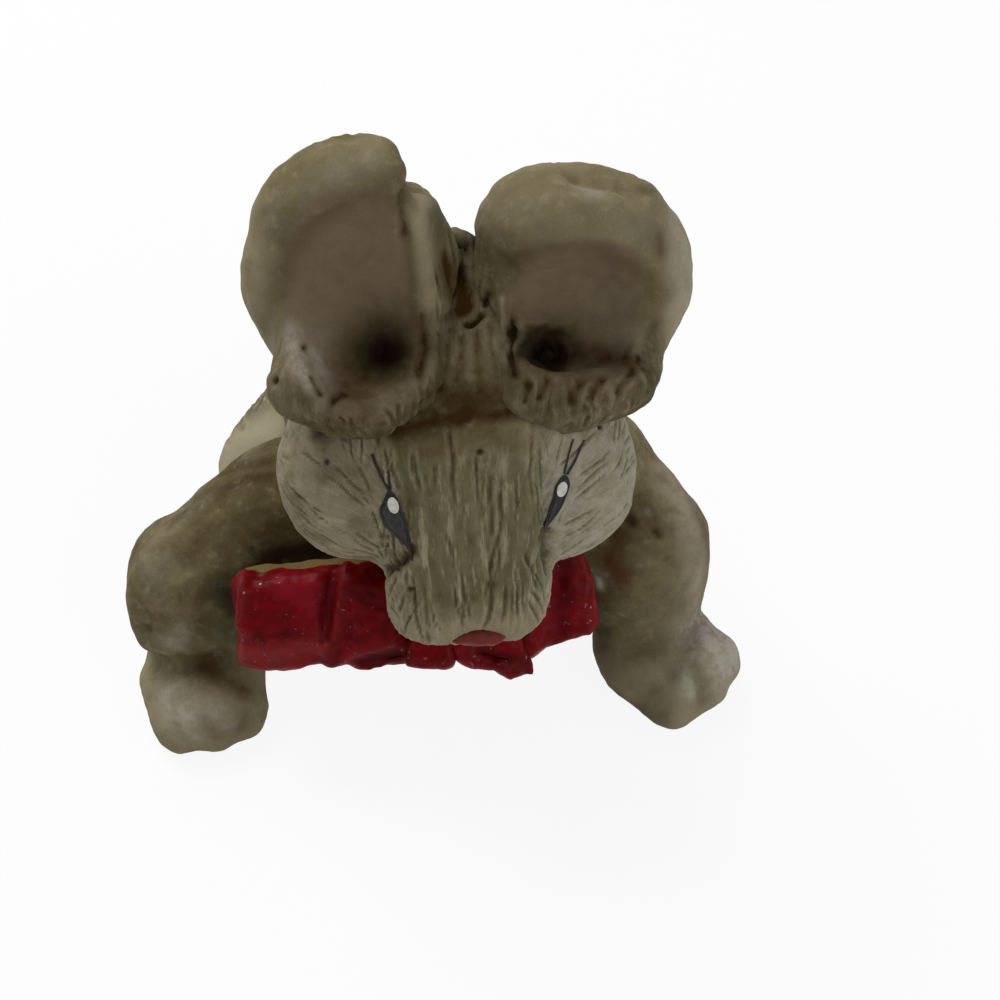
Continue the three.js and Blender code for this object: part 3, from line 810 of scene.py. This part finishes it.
forelegLook = {
    "voxel": 0.8, "ease": 4, "levels": 2, "swell": 0.25, "washDepth": 0.12, "washAmount": 0.6, "joint": 4,
    "lumps": [(6, 0.6, 0), (2.5, 0.24, 5), (0.9, 0.05, 7)],
    "left": {
        "seed": 31, "paleness": 0.9,
        # the darkening marks here lay painted shade in creases, at the ankle and on the inner side, along
        # with the brown wash, and near-black painted shadow in gaps and pits
        "marks": [
            mark(1.2, 0.5, (703, 606), (694, 632), (684, 655), (672, 672), wash=0.3),
            mark(2.8, -0.8, (606, 648), (618, 674), (642, 700), (668, 716)),
            mark(2.5, -0.4, (730, 640), (733, 662), (720, 688)),
            mark(1.1, 0.6, (692, 668), (699, 682), (703, 700), wash=0.4),
            mark(1.2, -0.5, (684, 672), (688, 690), white=0.6),
            mark(3, 0, (612, 650), (640, 690), seam=0.4),
            mark(4.2, -0.2, (708, 632), (726, 655), white=1),
            # painted light along the leg's lit outer side
            mark(2.8, 0, (670, 478), (686, 505), (695, 540), (698, 580), pale=0.9, white=0.2),
            mark(1.2, 0.3, (655, 690), (664, 712), wash=0.3),
            mark(1.8, 0, (620, 690), (660, 715), seam=0.5),
            mark(0.7, 0.5, (632, 521), (633, 523), soot=0.5),
            mark(0.6, 0.4, (657, 531), (660, 535), soot=0.3),
            mark(2, 0.15, (640, 500), (650, 515), (656, 530), seam=0.6),
            mark(2, 0.15, (628, 505), (622, 530), seam=0.7),
            mark(0.5, -0.2, (648, 512), (650, 514), white=0.5),
            mark(1.4, 0, (610, 562), (622, 580), rust=0.7),
            mark(0.6, -0.1, (600, 580), (601, 583), cream=0.7),
            mark(2, 0.2, (604, 625), (606, 645), seam=0.6),
            mark(2, -0.7, (602, 595), (602, 612), seam=0.6),
            mark(3.5, 0, (640, 560), (650, 600), (645, 650), stain=0.6),
        ],
    },
    "right": {
        "seed": 32, "paleness": 0.5,
        # the darkening marks here lay painted shade in creases, at the ankle and on the inner side, along
        # with the brown wash, and near-black painted shadow in gaps and pits
        "marks": [
            mark(2.5, -0.7, (136, 600), (138, 626), (148, 646)),
            mark(1.8, 1.5, (140, 661), (150, 664), (162, 666)),
            mark(2.2, 0.8, (147, 668), (147, 685), (154, 715)),
            mark(2.5, 0.7, (170, 747), (205, 749), (240, 741), (262, 728)),
            mark(2, 0.5, (266, 690), (267, 712)),
            mark(2.6, 0, (225, 680), (240, 700), (245, 725), seam=0.45),
            mark(1, 1, (152, 664), (168, 669), (184, 668), (205, 662), (228, 654), wash=0.45),
            mark(0.8, 0.4, (180, 658), (188, 666), soot=0.35),
            mark(1, 0.5, (202, 722), (209, 731), (216, 741), wash=0.4),
            mark(1.1, 0.6, (250, 722), (246, 734), wash=0.3),
            mark(1, 0.3, (178, 728), (182, 740), wash=0.2),
            mark(2, 0.15, (206, 668), (225, 678), (242, 690), seam=0.9),
            mark(2.8, -0.2, (170, 700), (188, 722), white=0.45),
            mark(1.6, -0.1, (215, 708), (226, 722), white=0.35),
            mark(0.7, 0.4, (148, 624), (149, 626), soot=0.4),
            mark(1.8, 0.6, (205, 604), (200, 620), wash=0.5),
            mark(1.1, 0.35, (190, 640), (196, 652), wash=0.3),
            mark(1.6, -0.3, (175, 640), (182, 632), white=0.3),
            mark(1.5, 0.7, (222, 590), (236, 600), soot=0.5),
            mark(0.9, 0.35, (217, 474), (240, 466), (268, 462), wash=0.5),
            mark(0.9, 0.3, (228, 488), (250, 478), (272, 476), wash=0.4),
            mark(3, 0.3, (200, 545), (240, 540), (275, 530), seam=0.6),
            # painted light along the leg's lit outer side
            mark(2, -0.2, (150, 560), (165, 535), pale=0.4),
            mark(1.6, 0.2, (262, 560), (300, 552), (330, 548), soot=0.8),
        ],
    },
}


def makeForeleg(side, paint):
    look, leg = forelegLook, forelegLook[side]
    clay = Clay("foreleg_" + side, look)
    clay.join(["torso"], look["joint"], seam=0.6)
    clay.lumps(look["lumps"], leg["seed"])
    clay.work(leg["marks"])
    clay.settlePaint(look["washDepth"], look["washAmount"])
    height = clay.points[:, 2]
    # the paws are painted pale, the left one more strongly as painted light
    clay.tint("pale", fade(10, 7, height) * leg["paleness"])
    clay.tint("stain", fade(11, 16, height) * 0.55 + 0.25)
    # darker towards the top of the leg
    clay.tint("seam", fade(14, 20, height) * 0.2)
    clay.finish("forelegCasting_" + side, paint)


hindLook = {
    "voxel": 1, "ease": 8, "levels": 2, "swell": 0.25, "washDepth": 0.1, "joint": 5,
    "fur": {"strokes": 420, "length": 5, "width": 0.45, "depth": 0.22, "stray": 0.25},
    "strand": (0.6, 0.6, 5), "flow": (0, 1, -0.2), "lumps": [(6, 0.35, 0)],
    "left": {"seed": 41}, "right": {"seed": 42},
}


def makeHindLeg(side, paint):
    look, leg = hindLook, hindLook[side]
    clay = Clay("hind_leg_" + side, look)
    x, y, z = clay.points.T
    rear = fade(2, 10, y)
    clay.layFur(look["strand"], (x, z, y), rear * 0.7)
    clay.coat(look, ["torso"], leg["seed"], rear + 0.02)
    # the haunch, at the front of the hind leg, is painted pale and cream as painted light; the low part of
    # the leg is painted pale too
    clay.tint("pale", (1 - rear) * 0.95 + fade(7, 4, z) * 0.6)
    clay.tint("cream", (1 - rear) * 0.25)
    clay.finish("hindLegCasting_" + side, paint)


tailLook = {
    "voxel": 0.7, "ease": 6, "levels": 2, "swell": 0.25, "washDepth": 0.1, "joint": 4,
    "fur": {"strokes": 420, "length": 3.5, "width": 0.4, "depth": 0.32, "stray": 0.35},
    "strand": (0.5, 0.5, 4), "flow": (0.2, 0.3, 1), "lumps": [(3, 0.5, 0)], "seed": 51,
}


def makeTail(paint):
    look = tailLook
    clay = Clay("tail", look)
    clay.layFur(look["strand"], clay.points.T, 0.8)
    clay.coat(look, ["torso"], look["seed"], np.ones(clay.size))
    clay.tint("pale", 0.8)
    clay.finish("tailCasting", paint)


# bow and nose

bowLook = {
    "voxel": 0.45, "ease": 4, "levels": 1, "swell": 0.14, "washDepth": 0.09, "washAmount": 0.4,
    "middle": Vector((0.5, -32, 20)) + centring, "up": Vector((0, 0.53, 0.85)),
    "back": Vector((0, 0.85, -0.53)), "tailSwell": 0.3, "ragged": 1.5,
    "lumps": [(3.5, 0.4, 0), (1, 0.14, 3)],
}
# the darkening marks on the bow lay painted shade in its folds, open ends and undersides, and the paler marks
# paint highlight on its lit edges and lower bands
bowPieces = {
    "bow_loop_left": {
        "name": "bowLoop_left", "seed": 61,
        "marks": [
            mark(1, 0.3, (560, 566), (558, 600), (556, 640), wash=0.4),
            mark(0.5, -0.2, (590, 563), (593, 590), (590, 632), worn=0.3),
            mark(0.6, -0.2, (540, 656), (565, 648), (588, 638), worn=0.4),
        ],
    },
    "bow_loop_right": {
        "name": "bowLoop_right", "seed": 62,
        "marks": [
            mark(0.9, 0.7, (332, 575), (329, 605), (327, 640), wash=0.7),
            mark(0.7, -0.6, (347, 566), (341, 600), (334, 637), worn=0.25),
            mark(1.2, -0.6, (328, 650), (332, 662)),
            mark(1.2, 0.5, (300, 655), (318, 657)),
            mark(0.6, -0.6, (247, 567), (243, 581), (240, 608), (239, 624), (250, 636), worn=0.5),
            mark(1.6, 0.3, (262, 585), (268, 615)),
            mark(0.9, 0.9, (234, 598), (233, 630), wash=1),
            mark(0.6, 0.3, (252, 638), (290, 636), (322, 640), wash=0.3),
            mark(1.3, -0.2, (245, 654), (280, 656), (318, 648), worn=0.9),
            mark(0.6, -0.25, (345, 660), (370, 652), (392, 644), worn=0.4),
            mark(1.3, 1, (358, 666), (376, 664), (398, 660), wash=1),
            mark(0.4, 0.3, (262, 640), (262, 648), wash=1),
        ],
    },
    "bow_knot": {"name": "bowKnot", "seed": 63, "marks": []},
    "bow_tail_left": {
        "name": "bowTail_left", "seed": 64,
        "marks": [
            mark(0.8, 0.6, (482, 654), (496, 658), (508, 660), wash=1),
            mark(1.2, -0.65, (458, 648), (461, 656)),
            mark(1, -1.1, (472, 658), (484, 661), (498, 663), (512, 670)),
        ],
    },
    "bow_tail_right": {
        "name": "bowTail_right", "seed": 65,
        "marks": [mark(1.2, -0.65, (447, 648), (448, 658))],
    },
    "neck_ribbon": {"name": "neckRibbon", "seed": 66, "marks": []},
}


def makeBow(paint):
    look = bowLook
    for node, piece in bowPieces.items():
        clay = Clay(node, look)
        upward = clay.facing.dot(np.array(look["up"]))
        backward = (clay.points - np.array(look["middle"])).dot(np.array(look["back"]))
        if "tail" in node:
            clay.push(np.full(clay.size, look["tailSwell"]))
            clay.calm(np.ones(clay.size), rounds=40)
        clay.lumps(look["lumps"], piece["seed"])
        clay.work(piece["marks"])
        clay.settlePaint(look["washDepth"], look["washAmount"])
        if "loop" in node:
            ragged = waves(clay.points, look["ragged"]) * look["ragged"]
            clay.tint("bare", fade(0.75, 0.9, upward) * fade(0, 0.5, backward + ragged))
        clay.finish(piece["name"], paint)


noseLook = {
    "voxel": 0.3, "ease": 3, "levels": 1, "swell": 0.1, "washDepth": 0.05,
    "lumps": [(1.2, 0.12, 0)], "seed": 71,
    "marks": [mark(0.9, 0.5, (452, 648), (479, 650), (505, 648))],
}


def makeNose(paint):
    look = noseLook
    clay = Clay("nose", look)
    clay.lumps(look["lumps"], look["seed"])
    clay.work(look["marks"])
    clay.settlePaint(look["washDepth"])
    clay.finish("nosePad", paint)


# eyes: paint films laid on the face

eyeLook = {
    "right": {
        "rim": [(388.8, 491), (384, 500), (380, 512), (386, 526), (400, 540), (411, 549), (409, 530),
                (402.5, 511), (396, 496)],
        "iris": [(390, 497), (386, 504), (383.5, 512), (389, 524), (401, 536), (407, 541), (405.5, 529),
                 (399.5, 512), (394.5, 501)],
        "glint": {"at": (393.6, 505), "half": (5.2, 8.4), "turn": -0.3},
        "lashes": [
            [(389.5, 491, 2.2), (380, 473, 1.8), (372, 454, 2.2)],
            [(391, 490, 1.8), (389.6, 480, 1.5), (388.8, 470, 1.2)],
            [(409, 545, 1.8), (412, 553, 1.5), (413, 561, 1)],
        ],
    },
    "left": {
        "rim": [(564.5, 474.6), (569.5, 483), (566.5, 495), (558.6, 511.5), (543.8, 529), (547, 515),
                (552, 500), (556, 485)],
        "iris": [(564, 479), (566.6, 484), (564, 494), (556.6, 509), (547.6, 521), (550, 513), (554.4, 500),
                 (558.4, 487)],
        "glint": {"at": (561.6, 489), "half": (4.8, 7.8), "turn": 0.32},
        "lashes": [
            [(564, 474, 1.8), (568, 456, 1.4), (573, 439, 1.2)],
            [(567, 474.6, 2), (575, 460, 2.2), (584, 440, 1.6)],
        ],
    },
}
filmLook = {
    "spacing": 1.6, "thickness": 0.06, "rounds": 3, "curveSteps": 5, "ovalSteps": 20, "faceEase": 12,
    "faceLift": 0.04, "rim": 0.1, "lash": 0.12, "iris": 0.14, "glint": 0.18,
}


def smoothLoop(corners):
    # a closed curve through the corners
    found = []
    count, steps = len(corners), filmLook["curveSteps"]
    for index in range(count):
        a, b, c, d = (Vector(corners[(index + shift) % count]) for shift in (-1, 0, 1, 2))
        for step in range(steps):
            t = step / steps
            bend = (2 * a - 5 * b + 4 * c - d) * t * t + (3 * b - a - 3 * c + d) * t ** 3
            found.append((2 * b + (c - a) * t + bend) / 2)
    return found


def ovalLoop(look):
    turn = Matrix.Rotation(look["turn"], 2)
    ring, steps = [], filmLook["ovalSteps"]
    for step in range(steps):
        angle = step * math.tau / steps
        reach = Vector((look["half"][0] * math.cos(angle), look["half"][1] * math.sin(angle)))
        ring.append(turn @ reach + Vector(look["at"]))
    return ring


def lashOutline(points):
    # a brush line of changing width round its middle points
    left, right = [], []
    for index, (x, y, width) in enumerate(points):
        before, after = points[max(index - 1, 0)], points[min(index + 1, len(points) - 1)]
        along = Vector((after[0] - before[0], after[1] - before[1])).normalized()
        aside = Vector((-along.y, along.x)) * width / 2
        left.append(Vector((x, y)) + aside)
        right.append(Vector((x, y)) - aside)
    return left + right[::-1]


def layFilm(name, outline, tree, lift, material):
    # a flat shape in the picture, let down on the face and given the thickness of paint
    shape = bmesh.new()
    ring = [shape.verts.new((point[0], point[1], 0)) for point in outline]
    edges = [shape.edges.new((ring[index - 1], ring[index])) for index in range(len(ring))]
    bmesh.ops.triangle_fill(shape, edges=edges, use_beauty=True)
    for turn in range(filmLook["rounds"]):
        long = [edge for edge in shape.edges if edge.calc_length() > filmLook["spacing"]]
        bmesh.ops.subdivide_edges(shape, edges=long, cuts=1)
        bmesh.ops.triangulate(shape, faces=shape.faces)
    for vertex in shape.verts:
        eye, ray = sightLine(vertex.co.x, vertex.co.y)
        place, out = tree.ray_cast(eye, ray)[:2]
        vertex.co = (place + out * lift) * mm
    bmesh.ops.recalc_face_normals(shape, faces=shape.faces)
    shape.normal_update()
    if sum((face.normal for face in shape.faces), Vector()).dot(viewAxes()[2]) < 0:
        bmesh.ops.reverse_faces(shape, faces=shape.faces)
    bmesh.ops.solidify(shape, geom=shape.faces, thickness=filmLook["thickness"] * mm)
    mesh = bpy.data.meshes.new(name)
    shape.to_mesh(mesh)
    shape.free()
    addPiece(name, mesh, material)


def makeEyes(headClay):
    black, grey, white = (eyePaint(name) for name in eyeTones)
    face = headClay.soften(headClay.points, filmLook["faceEase"]) + headClay.facing * filmLook["faceLift"]
    tree = headClay.skinTree(face)
    for side, eye in eyeLook.items():
        layFilm("eyeRim_" + side, smoothLoop(eye["rim"]), tree, filmLook["rim"], black)
        layFilm("eyeIris_" + side, smoothLoop(eye["iris"]), tree, filmLook["iris"], grey)
        layFilm("eyeGlint_" + side, ovalLoop(eye["glint"]), tree, filmLook["glint"], white)
        for number, lash in enumerate(eye["lashes"]):
            layFilm("lash_%s_%d" % (side, number), lashOutline(lash), tree, filmLook["lash"], black)
    print("eyes painted")


# stage

def backdropRays(wire):
    # the camera's rays and those off gloss or through glass, which see the white of the background
    kinds = ("Is Camera Ray", "Is Glossy Ray", "Is Transmission Ray")
    camera, glossy, clear = (wire.add("ShaderNodeLightPath", output=kind) for kind in kinds)
    return (camera + glossy + clear).clamped()


stageLook = {
    "floor": 1.6, "paper": (0.8, 0.8, 0.8, 1), "shadow": 0.1, "sky": 0.36, "aim": Vector((0, -0.01, 0.035)),
}


def makeFloor():
    shape = bmesh.new()
    bmesh.ops.create_circle(shape, cap_ends=True, segments=64, radius=stageLook["floor"])
    mesh = bpy.data.meshes.new("floor")
    shape.to_mesh(mesh)
    shape.free()
    floor = bpy.data.objects.new("floor", mesh)
    bpy.context.scene.collection.objects.link(floor)
    paper = Paint("paleFloor")
    paper.feed("Base Color", stageLook["paper"])
    paper.feed("Roughness", 0.8)
    seen = backdropRays(paper.wire)
    glow = paper.wire.add("ShaderNodeEmission", None, {"Color": (1, 1, 1, 1), "Strength": 1})
    ground = Wire(paper.tree, paper.shader.outputs[0])
    lit = seen * (1 - stageLook["shadow"])
    mixed = paper.wire.add("ShaderNodeMixShader", None, {0: lit, 1: ground, 2: glow})
    paper.wire.plug(paper.tree.nodes["Material Output"].inputs["Surface"], mixed)
    mesh.materials.append(paper.material)


def makeSky():
    world = bpy.data.worlds.new("studio")
    bpy.context.scene.world = world
    world.use_nodes = True
    wire = Wire(world.node_tree)
    seen = backdropRays(wire)
    strength = seen * (1 - stageLook["sky"]) + stageLook["sky"]
    sky = world.node_tree.nodes["Background"]
    wire.plug(sky.inputs["Color"], (1, 1, 1, 1))
    wire.plug(sky.inputs["Strength"], strength)


lampLook = {
    "window": {"at": (-0.3, 0.4, 0.8), "size": 0.6, "power": 6.5},
    "front": {"at": (0.45, -0.6, 0.5), "size": 0.5, "power": 1.8},
}


def makeLamps():
    for name, lamp in lampLook.items():
        light = bpy.data.lights.new(name, "AREA")
        light.shape = "DISK"
        light.size = lamp["size"]
        light.energy = lamp["power"]
        holder = bpy.data.objects.new(name, light)
        place = Vector(lamp["at"])
        aim = (stageLook["aim"] - place).to_track_quat("-Z", "Y")
        holder.matrix_world = Matrix.Translation(place) @ aim.to_matrix().to_4x4()
        bpy.context.scene.collection.objects.link(holder)


# everything together

bpy.context.scene.view_settings.view_transform = "Standard"
addCamera()
makeFloor()
makeSky()
makeLamps()
print("stage set")

fur = furPaint()
makeEyes(makeHead(fur))
for side in ("left", "right"):
    makeEar(side, fur)
    makeForeleg(side, fur)
    makeHindLeg(side, fur)
makeTorso(fur)
makeTail(fur)
makeBow(bowPaint())
makeNose(nosePaint())

print("figurine dressed")
